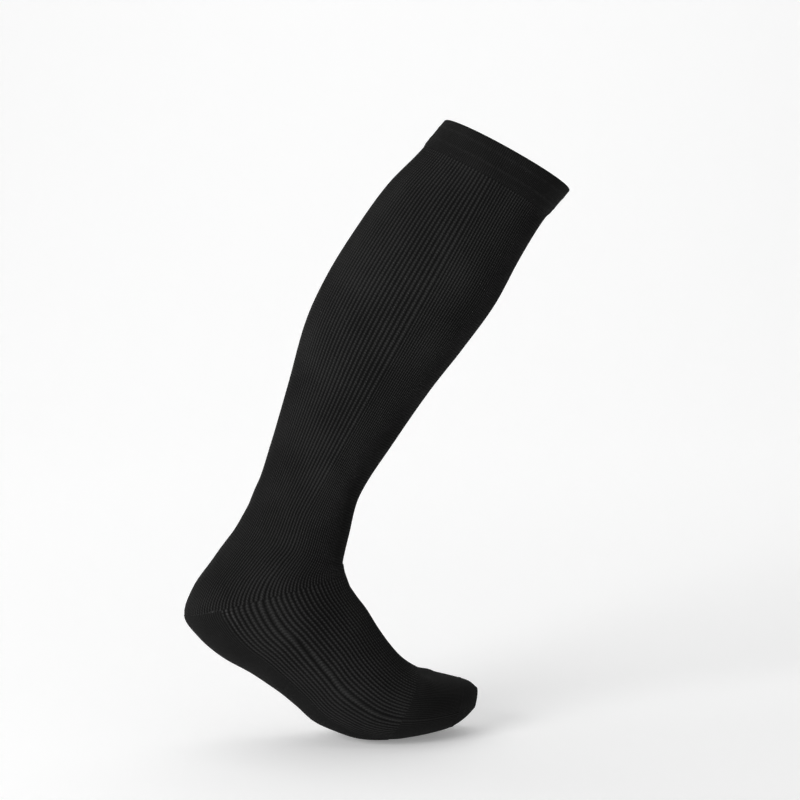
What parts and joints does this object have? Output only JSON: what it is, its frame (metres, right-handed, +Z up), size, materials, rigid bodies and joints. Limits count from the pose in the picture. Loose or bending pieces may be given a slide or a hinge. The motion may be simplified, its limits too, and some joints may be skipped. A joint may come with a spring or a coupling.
{
  "type": "diabetic sock",
  "caption": "Knee-length ribbed sock in its worn walking pose, with a plain top band, plain heel, sole and toe, and an open hollow inside.",
  "frame": {"origin": "middle of the top band's opening, where the wearer's calf holds the sock up", "axes": "+X towards the toes, +Y towards the wearer's inner side, +Z up with the ball and toes on level ground"},
  "size_m": [0.3037, 0.122, 0.4884],
  "materials": {
    "rib_cloth": "matte near-black rib knit",
    "plain_cloth": "matte near-black plain knit"
  },
  "bodies": {
    "root": {"top_band": "plain_cloth", "leg": "rib_cloth", "instep": "rib_cloth", "heel": "plain_cloth", "sole": "plain_cloth", "toe": "plain_cloth"}
  },
  "joints": []
}
